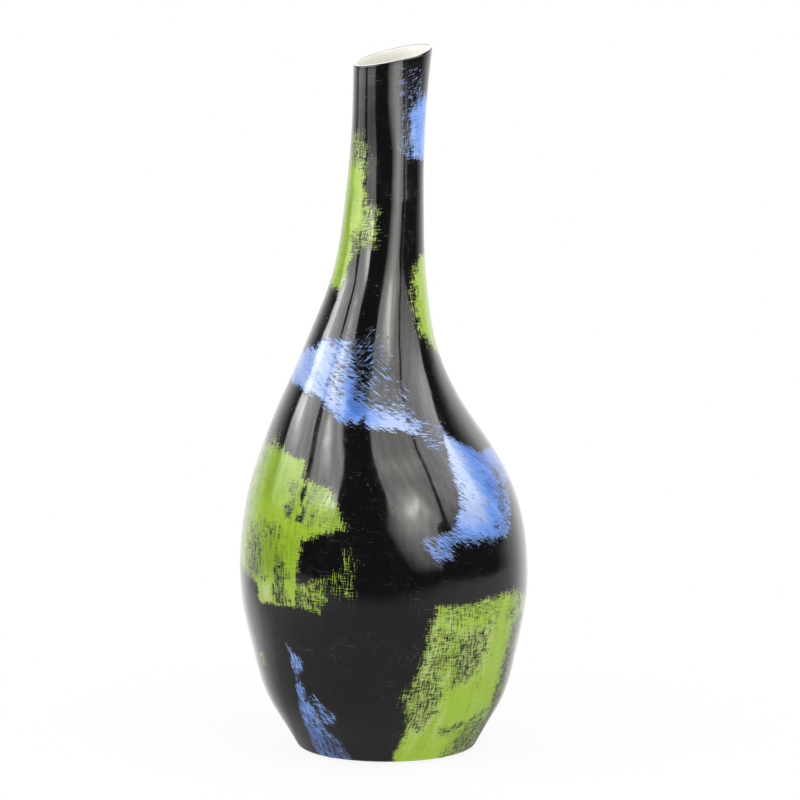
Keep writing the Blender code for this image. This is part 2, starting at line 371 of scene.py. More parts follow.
@dataclass
class Patch:
    """A dry-brushed patch. The outline is (azimuth, height in mm, dryness in mm), where the dryness
    says how far the edge frays. The bristles lean this many degrees to the right of straight up.
    Most is the fullest level that the paint reaches, hair says how far it breaks up into single
    bristle lines, and wander is how far the edge strays, in millimetres."""

    colour: str
    outline: list
    bristles: float = 0.0
    worn: Sequence = ()
    most: float = 1.8
    hair: float = 0.0
    wander: float = 0.7


PATCHES = [
    # Neck, left of the front
    Patch("green", [
        (-118, 300, 5), (-120, 350, 5), (-100, 374, 6), (-54, 372, 5), (-37, 364, 3.5), (-33, 338, 2.5),
        (-27, 330, 4), (-12, 326, 4), (-12, 308, 5), (-44, 301, 3), (-47, 286, 2), (-52, 278, 2.5),
        (-75, 279, 1.5), (-100, 283, 2),
    ], bristles=3, worn=[
        Area([(-32, 304), (-12, 304), (-12, 330), (-26, 338)], 0.3, 4),
        Area([(-110, 362), (-38, 360), (-38, 376), (-110, 376)], -0.1, 6),
        Area([(-44, 300), (-14, 304), (-14, 312), (-44, 310)], 0.0, 4),
    ]),
    # Neck root, right
    Patch("green", [
        (60, 297, 3), (48, 288, 4), (44, 276, 5), (46, 262, 5), (52, 253, 4), (72, 240, 2),
        (95, 232, 3), (118, 245, 5), (122, 285, 5), (95, 296, 3),
    ], bristles=-4),
    # Belly, left
    Patch("green", [
        (-98, 186, 6), (-80, 187, 5), (-66, 189, 5), (-52, 184.5, 1.5), (-38, 182, 1.2), (-36, 172, 1),
        (-23, 168, 1.5), (-16, 147, 3), (-35, 137, 2), (-37, 98, 1.2), (-48, 97, 1), (-59, 96, 0.8),
        (-61, 108, 1.5), (-78, 112, 5), (-94, 120, 7), (-104, 150, 7),
    ], hair=0.35, worn=[
        Area([(-37, 188), (-35.8, 188), (-35.4, 148), (-36.4, 148)], -0.7, 0.9),
        Area([(-48, 99), (-43, 99), (-43.5, 124), (-47, 128)], -0.15, 3),
        Area([(-72, 114), (-56, 112), (-60, 132), (-70, 140)], 0.3, 5),
        Area([(-44, 150), (-41.5, 150), (-41.5, 169), (-43.5, 169)], 0.05, 2),
        Area([(-92, 120), (-76, 120), (-70, 182), (-88, 182)], 0.75, 5),
        Area([(-33, 146), (-18, 144), (-22, 168), (-33, 172)], 0.9, 4),
        Area([(-66, 134), (-46, 136), (-48, 144), (-64, 142)], 0.6, 5),
    ]),
    # Scratchy tail and flecks beside it
    Patch("green", [
        (-36, 111, 2), (-25, 116, 2), (-23.5, 104, 1.5), (-26, 96, 1.5), (-36, 98, 1.5),
    ], most=0.15, hair=0.3),
    Patch("green", [(-21, 117, 3), (-13, 119, 3), (-13, 109, 3), (-20, 108, 3)], most=-0.5, hair=0.4),
    Patch("green", [(-15, 112, 3), (-13, 112, 3), (-13, 132, 3), (-15, 132, 3)], most=-0.5, hair=0.4),
    # Lower belly, right
    Patch("green", [
        (22, 100, 2), (32, 99, 1.5), (60, 102, 3), (88, 93, 3), (95, 88, 4), (70, 84, 4), (66, 75, 4),
        (63, 42, 4), (64, 30, 4), (66, 22, 3), (72, 8, 4), (70, 0, 1), (5, 0, 1), (4, 6, 1.5),
        (11, 22, 3), (10, 44, 5), (15, 60, 3), (20, 92, 3.5),
    ], worn=[
        Area([(33, 56), (43, 60), (45, 80), (33, 76)], 0.05, 9),
        Area([(12, 26), (21, 28), (24, 56), (14, 58)], 0.2, 6),
        Area([(44, 3), (72, 3), (70, 23), (50, 19)], 0.0, 6),
        Area([(30, 19), (44, 22), (58, 28), (58, 30), (44, 24), (30, 21)], 0.2, 2.5),
        Area([(20, 60), (29, 62), (30, 88), (21, 84)], 0.4, 5),
        Area([(60, 86), (90, 84), (92, 96), (64, 98)], 0.35, 5),
        Area([(24, 92), (52, 92), (52, 102), (24, 102)], 0.45, 5),
    ]),
    # Thin scratches beside it, towards the right edge
    Patch("green", [
        (64, 88, 3), (76, 86, 3), (82, 70, 3), (82, 36, 3), (72, 20, 3), (62, 22, 3), (62, 60, 3),
    ], bristles=10, most=-0.4, hair=0.7),
    # A spot at the far left
    Patch("green", [(-71, 62, 2), (-66, 62, 2), (-66, 57, 2), (-71, 56, 2)], most=0.1),
    # Neck, right
    Patch("blue", [
        (60, 388, 4), (34, 383, 3), (33, 364, 3), (37, 358, 2), (44, 354, 1.5), (60, 351, 1),
        (95, 346, 1.5), (125, 352, 4), (128, 378, 5), (95, 388, 4),
    ], bristles=4, most=1.2),
    Patch("blue", [(20, 406, 3), (52, 402, 3), (50, 386, 3), (22, 388, 3)], bristles=20, most=-0.6),
    Patch("blue", [(22, 386, 3), (34, 388, 3), (34, 358, 3), (24, 360, 3)], bristles=4, most=-0.4),
    # Shoulder, from the left edge down across the front
    Patch("blue", [
        (-112, 222, 5), (-110, 238, 5), (-60, 244, 2), (-45, 250, 3), (-20, 250, 4), (-14, 236, 4),
        (-9, 224, 4), (2, 214, 4), (20, 213, 5), (31, 203, 4), (27, 197.5, 2), (14, 200, 1.5),
        (-15, 203, 2), (-35, 216.5, 1.2), (-56, 220, 1.5), (-90, 223, 2),
    ], bristles=-62, most=1.6, hair=0.2, worn=[
        Area([(-15, 202), (-3, 202), (-3, 206), (-15, 206)], -0.5, 1),
        Area([(-30, 222), (-20, 216), (-16, 248), (-28, 252)], 0.55, 5),
        Area([(-10, 216), (18, 210), (18, 218), (-8, 228)], 0.3, 4),
    ]),
    # Its sparse upper right, in single bristle marks that fan out
    Patch("blue", [
        (-20, 252, 3), (3, 252, 3), (9, 242, 3), (4, 233, 3), (-14, 233, 3),
    ], bristles=42, most=-0.7, hair=0.9),
    Patch("blue", [
        (-12, 234, 3), (4, 234, 3), (9, 240, 4), (13, 228, 4), (25, 221, 4), (22, 211, 4), (-4, 215, 4),
    ], bristles=-50, most=-0.65, hair=0.8),
    Patch("blue", [
        (26, 206, 2), (45, 200, 2), (41, 188, 3), (30, 191, 3),
    ], bristles=-80, most=-0.2, hair=0.6),
    # Belly, right
    Patch("blue", [
        (43, 199, 1.5), (50, 192, 1.5), (62, 183, 1), (85, 183, 1), (105, 178, 5), (104, 160, 5),
        (76, 163, 3), (69, 148, 2), (62, 136, 2.5), (29, 136, 3), (28, 128, 3), (22, 127, 3),
        (17, 139, 2.5), (29, 143, 1.5), (36, 156, 1.5), (38, 180, 1.5),
    ], bristles=-52, most=1.7, hair=0.3, worn=[
        Area([(60, 140), (72, 148), (78, 170), (69, 172), (62, 156)], 0.3, 4),
        Area([(36, 156), (41, 156), (41, 180), (37, 180)], 0.8, 2),
        Area([(16, 126), (32, 126), (32, 142), (16, 142)], 0.25, 4),
        Area([(50, 132), (74, 140), (70, 152), (56, 146)], 0.7, 5),
    ]),
    # Lower belly, left
    Patch("blue", [
        (-44.5, 75, 1.2), (-41, 70, 1), (-37.5, 66, 1), (-37.5, 60, 1), (-40.5, 54, 0.8),
        (-39.5, 46, 0.8), (-36.5, 36, 1), (-33.5, 24, 1.2), (-28, 13, 1.5), (-23, 0, 1), (-50, 0, 1.5),
        (-49, 9, 1.5), (-46.5, 24, 1), (-44, 40, 0.8), (-43, 54, 0.8), (-43.6, 66, 1),
    ], bristles=-10, most=0.6, hair=0.75, worn=[
        Area([(-43, 50), (-40, 50), (-39, 59), (-43, 59)], -0.1, 2),
        Area([(-38, 0), (-22, 0), (-26, 18), (-36, 20)], -0.2, 4),
        Area([(-50, 0), (-25, 0), (-25, 12), (-50, 12)], 0.1, 4),
    ]),
    Patch("blue", [
        (-36, 43, 0.8), (-33.5, 43, 0.8), (-29, 35.5, 1.2), (-24.5, 32, 1.2), (-27, 26.5, 1.5),
        (-31, 26.5, 1.5), (-34, 33, 1),
    ], bristles=-32, most=0.3, hair=0.5),
    # The back, which the photo does not show
    Patch("blue", [
        (146, 222, 5), (150, 229, 5), (172, 232, 4), (178, 240, 3), (204, 236, 3), (214, 226, 5),
        (228, 219, 5), (226, 211, 4), (206, 208, 2), (200, 197, 2), (186, 194, 2), (178, 205, 3),
        (158, 206, 4),
    ], bristles=75, wander=2.0, worn=[
        Area([(172, 216), (206, 226), (208, 218), (176, 208)], 0.3, 6),
    ]),
    Patch("green", [
        (186, 128, 3), (193, 142, 4), (204, 136, 4), (212, 150, 4), (226, 147, 4), (232, 132, 4),
        (244, 128, 5), (243, 92, 5), (236, 86, 2), (232, 64, 1.5), (222, 60, 1.5), (214, 74, 2),
        (206, 55, 1.5), (192, 60, 2), (189, 96, 3),
    ], wander=2.0, worn=[
        Area([(196, 66), (200, 64), (203, 104), (198, 106)], 0.0, 5),
        Area([(218, 90), (228, 92), (228, 124), (221, 120)], 0.35, 6),
    ]),
    Patch("blue", [
        (116, 88, 5), (124, 104, 4), (136, 98, 4), (146, 108, 4), (156, 96, 3), (154, 62, 3),
        (148, 52, 2), (146, 28, 1.5), (136, 34, 2), (132, 20, 1.5), (124, 26, 2), (122, 56, 4),
    ], bristles=-12, wander=2.0, worn=[
        Area([(126, 40), (136, 44), (134, 70), (128, 68)], 0.0, 5),
        Area([(142, 76), (152, 80), (150, 94), (144, 92)], 0.3, 5),
    ]),
    Patch("green", [
        (146, 334, 4), (156, 350, 5), (170, 340, 4), (182, 354, 5), (198, 336, 4), (196, 300, 2),
        (184, 282, 1.5), (172, 296, 2), (160, 286, 1.5), (150, 302, 3),
    ], bristles=4, wander=1.5, worn=[
        Area([(160, 300), (172, 304), (170, 330), (162, 326)], 0.2, 4),
    ]),
]
NO_PAINT = -9.0

# How far the edges of worn places stray, in millimetres, and the step from one patch's grain to the
# next, in metres
WORN_WANDER = 1.8
GRAIN_STEP = 3.7

# Where the paint is paler (positive) or deeper (negative) than its middle tone
TINTS = [
    Area([(-100, 215), (-18, 215), (-18, 252), (-100, 252)], 0.7, 6),
    Area([(-15, 207), (-4, 207), (-6, 224), (-14, 226)], -1.0, 4),
    Area([(2, 196), (30, 196), (24, 222), (4, 222)], 1.2, 5),
    Area([(-70, 160), (-18, 144), (-18, 186), (-80, 196)], -0.4, 8),
    Area([(34, 145), (48, 145), (52, 166), (47, 195), (38, 195)], 1.1, 6),
    Area([(58, 160), (76, 160), (78, 184), (53, 190)], -0.6, 6),
    Area([(20, 127), (60, 127), (60, 142), (20, 142)], -0.3, 5),
    Area([(14, 356), (32, 356), (32, 410), (14, 410)], -0.8, 5),
    Area([(36, 344), (60, 344), (60, 390), (36, 390)], 0.7, 5),
    Area([(-50, 0), (-24, 0), (-28, 20), (-48, 20)], -1.2, 8),
    Area([(-46, 58), (-36, 58), (-36, 76), (-46, 76)], 0.5, 3),
    Area([(-35, 24), (-22, 24), (-22, 46), (-35, 46)], 0.5, 2),
    Area([(8, 22), (26, 22), (30, 96), (18, 96)], 0.7, 6),
    Area([(31, 52), (48, 54), (50, 84), (32, 84)], 0.8, 6),
    Area([(35, 0), (72, 0), (68, 18), (38, 18)], -0.7, 6),
    Area([(-58, 96), (-50, 96), (-50, 110), (-58, 110)], 0.9, 4),
    Area([(-72, 112), (-40, 112), (-40, 138), (-72, 142)], -0.7, 8),
    Area([(-48, 296), (-12, 296), (-12, 362), (-48, 362)], 0.5, 5),
    Area([(-120, 278), (-48, 278), (-48, 372), (-120, 372)], -0.6, 5),
    Area([(44, 250), (60, 250), (60, 295), (46, 295)], 0.5, 4),
]


def wrapped(degrees):
    return (degrees + 180) % 360 - 180


# Waves along hand-painted edges, a large and a small one across and the same upwards. Each is how
# fast it turns across and upwards, in radians per millimetre, and where it starts.
EDGE_WAVES = (
    ((0.31, 0.47, 0), (-0.21, 0.83, 1)),
    ((0.39, 0.23, 2), (0.91, -0.17, 0)),
)
SMALL_SHARE = 0.5


def wandering(across, up):
    """Offsets that let a hand-painted edge wander, -1 to 1: across and up."""
    offsets = []
    for pair in EDGE_WAVES:
        large, small = (np.sin(a * across + b * up + start) for a, b, start in pair)
        offsets.append((large + SMALL_SHARE * small) / (1 + SMALL_SHARE))
    return offsets


def level_inside(outline, azimuth, height, wander=0.0):
    """Distance in millimetres from the outline's nearest edge, positive inside, and that edge's
    dryness. Distances are taken along the surface at each point's own radius."""
    corners = np.array(outline, dtype=float)
    centre = corners[:, 0].mean()
    width = radians(1) * OUTSIDE.at(height) / MM
    across = wrapped(azimuth - centre) * width
    up = height / MM
    aside, above = wandering(across + centre, up)
    across = across + wander * aside
    up = up + wander * above
    nearest = np.full(azimuth.shape, np.inf)
    dryness = np.ones(azimuth.shape)
    inside = np.zeros(azimuth.shape, dtype=bool)
    for i, (turn_b, high_b, *dry_b) in enumerate(corners):
        turn_a, high_a, *dry_a = corners[i - 1]
        ax = (turn_a - centre) * width
        bx = (turn_b - centre) * width
        dx = bx - ax
        dy = high_b - high_a
        share = np.clip(((across - ax) * dx + (up - high_a) * dy) / (dx * dx + dy * dy), 0, 1)
        apart = np.hypot(across - ax - share * dx, up - high_a - share * dy)
        closer = apart < nearest
        nearest = np.where(closer, apart, nearest)
        if dry_a:
            dryness = np.where(closer, between(dry_a[0], dry_b[0], share), dryness)
        if high_a != high_b:
            crosses = (high_a > up) != (high_b > up)
            inside ^= crosses & (across < ax + (up - high_a) / dy * dx)
    return np.where(inside, nearest, -nearest), dryness


def stroke_places(number, patch, azimuth, height):
    """Places in the patch's own grain: across its bristles, along them, and by its number."""
    centre = np.mean([corner[0] for corner in patch.outline])
    across = radians(1) * wrapped(azimuth - centre) * OUTSIDE.at(height)
    lean = radians(patch.bristles)
    aside = across * cos(lean) - height * sin(lean)
    along = across * sin(lean) + height * cos(lean)
    return np.stack([aside, along, np.full(azimuth.shape, number * GRAIN_STEP)], -1)


def paint_levels(azimuth, height):
    """For each point: the levels of green and of blue, from below -1 (none) to above 1 (full), the
    place in the nearest patch's own grain, that patch's hair, and how far it is worn there."""
    levels = {colour: np.full(azimuth.shape, NO_PAINT) for colour in ("green", "blue")}
    best = np.full(azimuth.shape, NO_PAINT)
    hair = np.zeros(azimuth.shape)
    hatch = np.zeros(azimuth.shape)
    grain = np.zeros((*azimuth.shape, 3))
    for number, patch in enumerate(PATCHES):
        distance, dryness = level_inside(patch.outline, azimuth, height, patch.wander)
        level = np.minimum(distance / dryness, patch.most)
        scraped = np.zeros(azimuth.shape)
        for worn in patch.worn:
            depth, _ = level_inside(worn.outline, azimuth, height, WORN_WANDER)
            level = np.minimum(level, worn.level + np.maximum(-depth, 0) / worn.soft)
            scraped = np.maximum(scraped, np.clip(1 + depth / worn.soft, 0, 1))
        level = np.clip(level, NO_PAINT, -NO_PAINT)
        levels[patch.colour] = np.maximum(levels[patch.colour], level)
        nearer = level > best
        grain = np.where(nearer[..., None], stroke_places(number, patch, azimuth, height), grain)
        hair = np.where(nearer, patch.hair, hair)
        hatch = np.where(nearer, scraped, hatch)
        best = np.maximum(best, level)
    return levels["green"], levels["blue"], grain, hair, hatch


def tint_levels(azimuth, height):
    total = np.zeros(azimuth.shape)
    for tint in TINTS:
        depth, _ = level_inside(tint.outline, azimuth, height)
        total += tint.level * np.clip(0.5 + depth / tint.soft / 2, 0, 1)
    return total


# Materials


class Graph:
    """Short calls for building a material's or the world's nodes."""

    def __init__(self, tree):
        self.tree = tree

    def put(self, socket, value):
        """Link the socket to another one, or give it a constant."""
        if isinstance(value, bpy.types.NodeSocket):
            self.tree.links.new(value, socket)
        else:
            socket.default_value = value

    def fill(self, node, **inputs):
        """Fill these inputs of the node, where _ stands for a space in an input's name."""
        for key, value in inputs.items():
            self.put(node.inputs[key.replace("_", " ")], value)

    def node(self, kind, settings=None, **inputs):
        made = self.tree.nodes.new(kind)
        for key, value in (settings or {}).items():
            setattr(made, key, value)
        self.fill(made, **inputs)
        return made

    def ordered(self, kind, *values, **settings):
        """The output of a node with these values in the order of its inputs."""
        made = self.node(kind, settings)
        for socket, value in zip(made.inputs, values):
            self.put(socket, value)
        return made.outputs[0]

    def math(self, operation, *values):
        return self.ordered("ShaderNodeMath", *values, operation=operation)

    def chain(self, operation, first, *others):
        """The operation on the first value and the second, then on that and the third, and so on."""
        for other in others:
            first = self.math(operation, first, other)
        return first

    def add(self, *values):
        return self.chain("ADD", *values)

    def times(self, *values):
        return self.chain("MULTIPLY", *values)

    def most(self, *values):
        return self.chain("MAXIMUM", *values)

    def centred(self, noise, strength):
        """A noise of about 0 to 1, moved to have its middle at 0, at this strength."""
        return self.times(self.math("SUBTRACT", noise, 0.5), strength)

    def attribute(self, name, output="Fac"):
        return self.node("ShaderNodeAttribute", {"attribute_name": name}).outputs[output]

    def place(self):
        """The point's place in the part's frame."""
        return self.node("ShaderNodeTexCoord").outputs["Object"]

    def split(self, vector):
        return self.node("ShaderNodeSeparateXYZ", Vector=vector).outputs

    def noise(self, place, lumps, detail=2.0, roughness=0.5, distortion=0.0):
        """Noise from 0 to 1 with lumps of this many millimetres, one size or one for each axis."""
        scale = (1 / (np.broadcast_to(lumps, 3) * MM)).tolist()
        mapped = self.node("ShaderNodeMapping", Vector=place, Scale=scale).outputs[0]
        shape = {"Detail": detail, "Roughness": roughness, "Distortion": distortion}
        return self.node("ShaderNodeTexNoise", Vector=mapped, Scale=1.0, **shape).outputs["Fac"]

    def fade(self, value, low, high, to_low=0.0, to_high=1.0):
        """Smoothly from to_low, where the value is low or less, to to_high."""
        ends = {"From_Min": low, "From_Max": high, "To_Min": to_low, "To_Max": to_high}
        smooth = {"interpolation_type": "SMOOTHSTEP"}
        return self.node("ShaderNodeMapRange", smooth, Value=value, **ends).outputs["Result"]

    def blend(self, share, first, second):
        """From the first colour to the second."""
        made = self.node("ShaderNodeMix", {"data_type": "RGBA"}, Factor=share, A=first, B=second)
        return made.outputs["Result"]

    def blend_value(self, share, first, second):
        made = self.node("ShaderNodeMix", {"data_type": "FLOAT"}, Factor=share, A=first, B=second)
        return made.outputs["Result"]

    def bump(self, height):
        return self.node("ShaderNodeBump", Strength=1.0, Distance=1.0, Height=height).outputs[0]

    def emission(self, strength, tint=(1, 1, 1, 1)):
        return self.node("ShaderNodeEmission", Color=tint, Strength=strength).outputs[0]

    def mix_shader(self, share, first, second):
        return self.ordered("ShaderNodeMixShader", share, first, second)


def new_material(name, **constants):
    made = bpy.data.materials.new(name)
    made.use_nodes = True
    graph = Graph(made.node_tree)
    shader = made.node_tree.nodes["Principled BSDF"]
    graph.fill(shader, **constants)
    return made, graph, shader


def emptied(block):
    """The block's own node tree, with no nodes in it."""
    block.use_nodes = True
    block.node_tree.nodes.clear()
    return Graph(block.node_tree)


def rgb(red, green, blue):
    return red, green, blue, 1.0


LACQUER = rgb(0.0030, 0.0029, 0.0030)
SCUFF = rgb(0.300, 0.300, 0.270)
LINING_COLOURS = rgb(0.87, 0.85, 0.76), rgb(0.95, 0.93, 0.87)
LINING_SPECK = rgb(0.70, 0.65, 0.54)
# The lip's near-white colour is a painted highlight, where the rim's top catches the light
LINING_LIP_HIGHLIGHT = rgb(0.98, 0.97, 0.94)
# The dark line along the crest at the back: partly the lacquer's dark edge, partly painted shade
LINING_CREST_EDGE_AND_SHADE = rgb(0.28, 0.26, 0.23)
BOARD_COLOURS = rgb(0.74, 0.71, 0.60), rgb(0.86, 0.83, 0.73)
STAIN_COLOURS = rgb(0.008, 0.0075, 0.007), rgb(0.022, 0.020, 0.018)
FELT_COLOURS = rgb(0.022, 0.022, 0.023), rgb(0.065, 0.064, 0.062)

# Each paint: where its film is thin, then deep, middle and pale
GREENS = (
    rgb(0.165, 0.225, 0.040), rgb(0.225, 0.360, 0.012), rgb(0.330, 0.510, 0.030), rgb(0.490, 0.590, 0.220)
)
BLUES = (
    rgb(0.105, 0.150, 0.255), rgb(0.063, 0.165, 0.560), rgb(0.158, 0.318, 0.800), rgb(0.385, 0.495, 0.800)
)

# Noises: the lumps in millimetres, the detail, the roughness and any distortion. The first three lie
# in the paint's grain: across its bristles, along them, and from one patch to the next. The rest lie
# in the part's frame, and the lacquer's have the ring height there in place of the height.
PATCHES_APART = 1 / MM
STREAK_NOISE = ((0.6, 7, PATCHES_APART), 2, 0.6, 0.25)
WASH_NOISE = ((7, 40, PATCHES_APART), 3, 0.55)
FINE_NOISE = ((0.7, 14, PATCHES_APART), 2)
TICK_NOISE = ((4.5, 4.5, 0.75), 2, 0.6)
BLOTCH_NOISE = (8, 4, 0.65)
WEAVE_NOISE = ((9, 9, 0.9), 1)
PATCHY_NOISE = (22, 3, 0.6)
FLECK_NOISE = ((3, 3, 0.45), 3, 0.6)
WIPE_NOISE = ((4, 4, 14), 4, 0.65)
RIPPLE_NOISE = ((20, 20, 1.5), 2)
SOFT_NOISE = ((15, 15, 22), 2, 0.3)
NIB_NOISE = (1.6, 1)
CLOUD_NOISE = (14, 4, 0.6)
SPECK_NOISE = (1.2, 3, 0.6)
BOARD_NOISE = ((30, 1.6, 1.6), 3, 0.6)
FIBRE_NOISE = (0.5, 5, 0.7)

# Upright and level scratches: their noise, the values between which it goes from none to full, the
# same for the patchy noise that says where they are, and how much they show
SCRATCHES = (
    (((0.7, 0.7, 8), 3, 0.7), (0.58, 0.74), (0.46, 0.66), 0.15),
    (((12, 12, 0.55), 1), (0.68, 0.78), (0.42, 0.60), 0.18),
)

# Between these values of their noises, other marks go from none to full
FLECKED = (0.97, 1.05)
WIPED = (0.62, 0.95)
NIBBED = (0.73, 0.81)
CLOUDY = (0.3, 0.7)
SPECKED = (0.62, 0.75)
STAIN_EDGE = (DISC_BOTTOM + 1.5 * MM, DISC_BOTTOM + 2 * MM)
PATCHY_SHARE = 0.5
FLECK_SHOW = 0.35

# Shares of the three kinds of brush noise, and how strong they are together
STREAKS = 1.2
TICKS = 1.0
BLOTCHES = 0.8
BRUSH_CONTRAST = 3.8
LINE_CONTRAST = 9.0
LINE_BREAKS = 4.0
HATCH_BLOTCHES = 0.4
FILM = 0.2

# Levels between which the paint covers and its film fills
COVERING = (-0.4, 0.45)
FILLING = (-0.1, 1.1)

# Shares of the parts of the paint's tone, and the tones between which it turns to middle and to pale
WASH = 0.8
FINE = 0.6
WEAVE = 0.35
TINT = 0.4
TONE_SHIFT = -0.37
TO_MIDDLE = (0.15, 0.5)
TO_PALE = (0.5, 1.0)

# The shaders' constants, and the depth of each relief
GLOSS = {"Roughness": 0.12, "Coat_Weight": 1.0, "Coat_Roughness": 0.03, "Coat_IOR": 1.5}
WIPED_ROUGHNESS = (0.09, 0.17)
PAINT_ROUGHNESS = 0.2
LINING_ROUGHNESS = 0.45
BOARD_ROUGHNESS = 0.5
FUZZ = {"Roughness": 0.95, "Sheen_Weight": 0.35, "Sheen_Roughness": 0.6}
RIPPLE_DEPTH = 12 * MICRON
SOFT_DEPTH = 220 * MICRON
NIB_DEPTH = 80 * MICRON
PAINT_DEPTH = 25 * MICRON
BRISTLE_DEPTH = 60 * MICRON
PAINT_SHOWS_IN_COAT = 0.15
LINING_DEPTH = 60 * MICRON
SPECK_DEPTH = 20 * MICRON
BOARD_DEPTH = 40 * MICRON
FELT_DEPTH = 120 * MICRON


def brush_noise(graph, grain, ring):
    """Broken brush marks, about -1 to 1: streaks along the bristles, ticks along the coiled strips
    under the lacquer, and blotches."""
    streaks = graph.noise(grain, *STREAK_NOISE)
    ticks = graph.noise(ring, *TICK_NOISE)
    blotches = graph.centred(graph.noise(ring, *BLOTCH_NOISE), BLOTCHES)
    share = graph.blend_value(graph.attribute("hatch"), 1.0, HATCH_BLOTCHES)
    crossed = graph.add(graph.centred(streaks, STREAKS), graph.centred(ticks, TICKS))
    mixed = graph.times(graph.add(crossed, graph.times(blotches, share)), BRUSH_CONTRAST)
    lines = graph.add(graph.centred(streaks, LINE_CONTRAST), graph.centred(ticks, LINE_BREAKS))
    return graph.blend_value(graph.attribute("hair"), mixed, lines)


def paint_tone(graph, grain, ring, fine):
    """How pale the paint is, about 0 to 1: washes and fine marks along the bristles, the coiled
    strips under it, and the tints by place."""
    return graph.add(
        graph.times(graph.noise(grain, *WASH_NOISE), WASH),
        graph.times(fine, FINE),
        graph.times(graph.noise(ring, *WEAVE_NOISE), WEAVE),
        graph.times(graph.attribute("tint"), TINT),
        TONE_SHIFT,
    )


def paint_colour(graph, body, tone, paint):
    """The paint's colour: deep to pale with the tone, and duller where its film is thin."""
    thin, deep, middle, pale = paint
    full = graph.blend(graph.fade(tone, *TO_MIDDLE), deep, middle)
    full = graph.blend(graph.fade(tone, *TO_PALE), full, pale)
    return graph.blend(body, thin, full)


def worn_lacquer(graph, ring, patchy):
    """The bare lacquer's colour: black, with flecks and with upright and level scratches."""
    flecks = graph.add(graph.noise(ring, *FLECK_NOISE), graph.times(patchy, PATCHY_SHARE))
    marks = [graph.times(graph.fade(flecks, *FLECKED), FLECK_SHOW)]
    for noise, marked, places, show in SCRATCHES:
        scratches = graph.fade(graph.noise(ring, *noise), *marked)
        marks.append(graph.times(scratches, graph.fade(patchy, *places), show))
    return graph.blend(graph.most(*marks), LACQUER, SCUFF)


def lacquer_relief(graph, ring):
    """The lacquer's height in metres: level ripples, soft hollows and dust nibs."""
    nibs = graph.fade(graph.noise(ring, *NIB_NOISE), *NIBBED)
    return graph.add(
        graph.times(graph.noise(ring, *RIPPLE_NOISE), RIPPLE_DEPTH),
        graph.times(graph.noise(ring, *SOFT_NOISE), SOFT_DEPTH),
        graph.times(nibs, NIB_DEPTH),
    )


def lacquer_material():
    made, graph, shader = new_material("black_lacquer_painted", **GLOSS)
    grain = graph.attribute("grain", "Vector")
    ring = graph.attribute("ring", "Vector")
    fine = graph.noise(grain, *FINE_NOISE)
    patchy = graph.noise(ring, *PATCHY_NOISE)
    broken = brush_noise(graph, grain, ring)
    film = graph.times(graph.attribute("hatch"), FILM)
    tone = paint_tone(graph, grain, ring, fine)
    painted = worn_lacquer(graph, ring, patchy)
    shares = []
    for edge, paint in (("green_edge", GREENS), ("blue_edge", BLUES)):
        level = graph.add(graph.attribute(edge), broken)
        shares.append(graph.fade(graph.add(level, film), *COVERING))
        body = graph.fade(level, *FILLING)
        painted = graph.blend(shares[-1], painted, paint_colour(graph, body, tone, paint))
    covered = graph.most(*shares)
    wiped = graph.add(graph.noise(ring, *WIPE_NOISE), graph.times(patchy, PATCHY_SHARE))
    smeared = graph.fade(wiped, *WIPED, *WIPED_ROUGHNESS)
    height = lacquer_relief(graph, ring)
    marks = graph.times(covered, graph.add(PAINT_DEPTH, graph.times(fine, BRISTLE_DEPTH)))
    in_coat = graph.add(height, graph.times(marks, PAINT_SHOWS_IN_COAT))
    graph.fill(
        shader,
        Base_Color=painted,
        Roughness=graph.blend_value(covered, smeared, PAINT_ROUGHNESS),
        Normal=graph.bump(graph.add(height, marks)),
        Coat_Normal=graph.bump(in_coat),
    )
    return made


def lining_material():
    made, graph, shader = new_material("pale_coat", Roughness=LINING_ROUGHNESS)
    place = graph.place()
    cloudy = graph.noise(place, *CLOUD_NOISE)
    speck = graph.noise(place, *SPECK_NOISE)
    tone = graph.blend(graph.fade(cloudy, *CLOUDY), *LINING_COLOURS)
    tone = graph.blend(graph.fade(speck, *SPECKED), tone, LINING_SPECK)
    # Painted highlight: the lip is lightened towards near white
    tone = graph.blend(graph.attribute("lip"), tone, LINING_LIP_HIGHLIGHT)
    # Partly the lacquer's edge, partly painted shade: a dark line along the crest, only at the back
    tone = graph.blend(graph.attribute("crest"), tone, LINING_CREST_EDGE_AND_SHADE)
    height = graph.add(graph.times(cloudy, LINING_DEPTH), graph.times(speck, SPECK_DEPTH))
    graph.fill(shader, Base_Color=tone, Normal=graph.bump(height))
    return made


def board_material():
    """The floor board: the pale coat on top, thin black stain underneath."""
    made, graph, shader = new_material("floor_board", Roughness=BOARD_ROUGHNESS)
    place = graph.place()
    grain = graph.noise(place, *BOARD_NOISE)
    cloudy = graph.noise(place, *CLOUD_NOISE)
    top = graph.blend(graph.fade(cloudy, *CLOUDY), *BOARD_COLOURS)
    under = graph.blend(grain, *STAIN_COLOURS)
    share = graph.fade(graph.split(place)["Z"], *STAIN_EDGE)
    relief = graph.bump(graph.times(grain, BOARD_DEPTH))
    graph.fill(shader, Base_Color=graph.blend(share, under, top), Normal=relief)
    return made


def felt_material():
    made, graph, shader = new_material("felt", **FUZZ)
    fibres = graph.noise(graph.place(), *FIBRE_NOISE)
    tone = graph.blend(graph.fade(fibres, *CLOUDY), *FELT_COLOURS)
    graph.fill(shader, Base_Color=tone, Normal=graph.bump(graph.times(fibres, FELT_DEPTH)))
    return made


# Pieces


